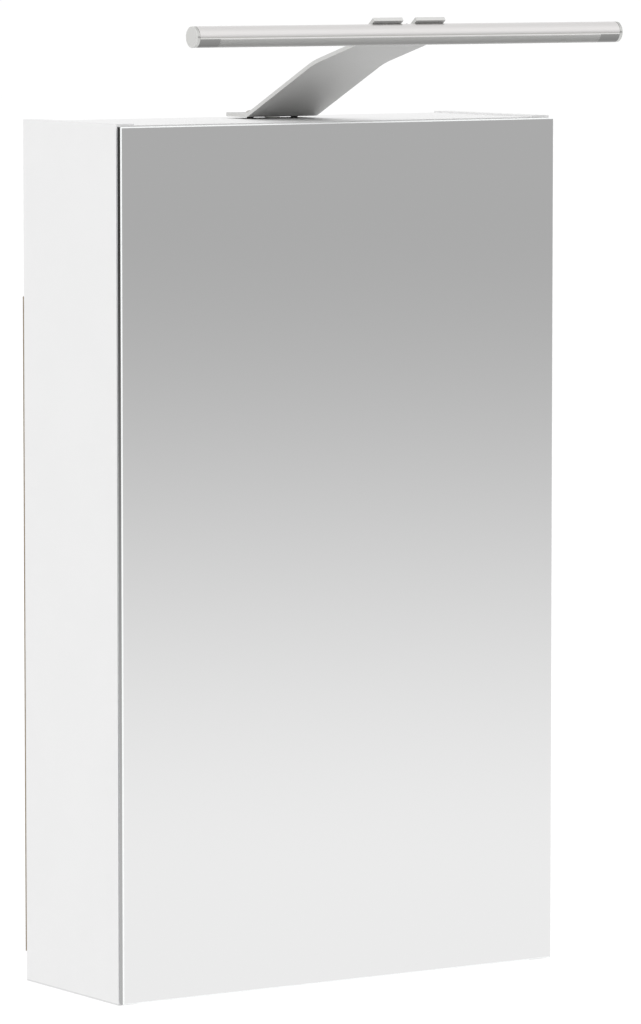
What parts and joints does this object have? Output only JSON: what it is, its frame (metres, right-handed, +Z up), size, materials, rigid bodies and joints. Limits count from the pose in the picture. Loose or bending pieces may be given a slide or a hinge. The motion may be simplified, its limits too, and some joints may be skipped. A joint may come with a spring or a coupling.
{
  "type": "mirror cabinet",
  "caption": "Wall-hung mirror cabinet: white board carcass, frameless hinged mirror door, glass shelves, light switch inside and a round light bar on a bent arm above.",
  "frame": {"origin": "middle of the two wall holes, on the rear face of the rear rail", "axes": "+X to the right seen from the front, +Y back towards the wall, +Z up"},
  "size_m": [0.4, 0.2461, 0.7518],
  "materials": {
    "white_board": "white melamine facing, faint pearl grain",
    "hardboard": "raw brown hardboard, white lacquer on the inner face",
    "beech": "turned beech",
    "mirror_glass": "silvered float glass, polished edge, ground arris",
    "safety_film": "light grey film",
    "clear_glass": "polished float glass",
    "nickel_steel": "nickel plated",
    "white_plastic": "moulded",
    "ferrite": "sintered, dark grey",
    "clear_silicone": "translucent",
    "silver_lacquer": "silver lacquer with fine metal flake",
    "black_plastic": "moulded",
    "anodised_aluminium": "satin anodised",
    "lamp_cover": "translucent, glossy",
    "chrome_trim": "polished",
    "led_strip": "white solder mask",
    "led_phosphor": "unlit"
  },
  "bodies": {
    "cabinet": {"side_left": "white_board", "side_right": "white_board", "top_board": "white_board", "bottom_board": "white_board", "rear_rail": "white_board", "back_panel": "hardboard", "dowels": "beech", "shelf_lower": "clear_glass", "shelf_upper": "clear_glass", "shelf_pins": "nickel_steel", "hinge_side_leaves": "nickel_steel", "hinge_pins": "nickel_steel", "hinge_screws": "nickel_steel", "arm_screws": "nickel_steel", "bar_screws": "nickel_steel", "switch_axle": "nickel_steel", "catch_body": "white_plastic", "lead_grommet": "white_plastic", "switch_box": "white_plastic", "switch_cover": "white_plastic", "catch_magnet": "ferrite", "door_bumpers": "clear_silicone", "lamp_arm": "silver_lacquer", "arm_spacers": "black_plastic", "lamp_gland": "black_plastic", "led_driver": "black_plastic", "lamp_housing": "anodised_aluminium", "lamp_diffuser": "lamp_cover", "lamp_cap_left": "chrome_trim", "lamp_cap_right": "chrome_trim", "led_board": "led_strip", "led_chips": "led_phosphor"},
    "door": {"mirror_pane": "mirror_glass", "mirror_film": "safety_film", "hinge_door_leaves": "nickel_steel", "strike_plate": "nickel_steel"},
    "rocker": {"switch_rocker": "white_plastic"}
  },
  "joints": [
    {"name": "door_hinge", "type": "hinge", "parent": "cabinet", "child": "door", "pos_m": [0.1972, -0.1348, -0.245], "axis": [0, 0, 1], "range_deg": [0, 95]},
    {"name": "switch_tilt", "type": "hinge", "parent": "cabinet", "child": "rocker", "pos_m": [-0.093, -0.072, 0.047], "axis": [1, 0, 0], "range_deg": [0, 14]}
  ]
}
